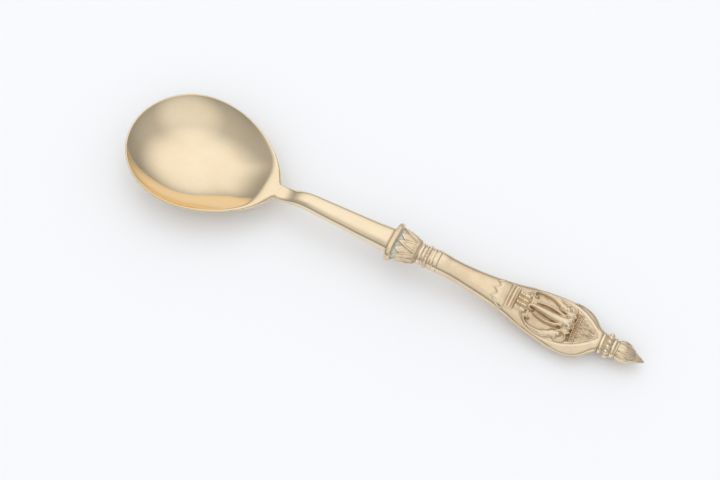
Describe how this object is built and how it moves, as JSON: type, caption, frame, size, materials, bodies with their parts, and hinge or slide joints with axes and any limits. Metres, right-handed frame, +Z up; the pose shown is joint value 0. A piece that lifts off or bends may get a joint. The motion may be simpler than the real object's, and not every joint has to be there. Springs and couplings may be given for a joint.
{
  "type": "souvenir spoon",
  "caption": "Cast brass souvenir spoon with a deep egg-shaped bowl, a lotus capital, a teardrop grip with an elephant relief, and a lotus-bud finial.",
  "frame": {"origin": "on the table under the middle of the spoon's length, midway across its width", "axes": "+X along the spoon from the bowl's tip to the finial, +Y across it, +Z up out of the table, the spoon lying with its bowl open upwards"},
  "size_m": [0.2, 0.0464, 0.014],
  "materials": {
    "polished_brass": "mirror polished pale golden brass, light scratches",
    "satin_brass": "worn satin cast brass, a little uneven",
    "aged_brass": "cast brass with dark brown patina in the hollows and whitish polish residue"
  },
  "bodies": {
    "root": {"bowl": "polished_brass", "shank": "polished_brass", "lotus_capital": "aged_brass", "neck_collar": "satin_brass", "grip": "satin_brass", "pedestal": "satin_brass", "elephant_relief": "aged_brass", "finial_collar": "satin_brass", "bud_finial": "aged_brass"}
  },
  "joints": []
}
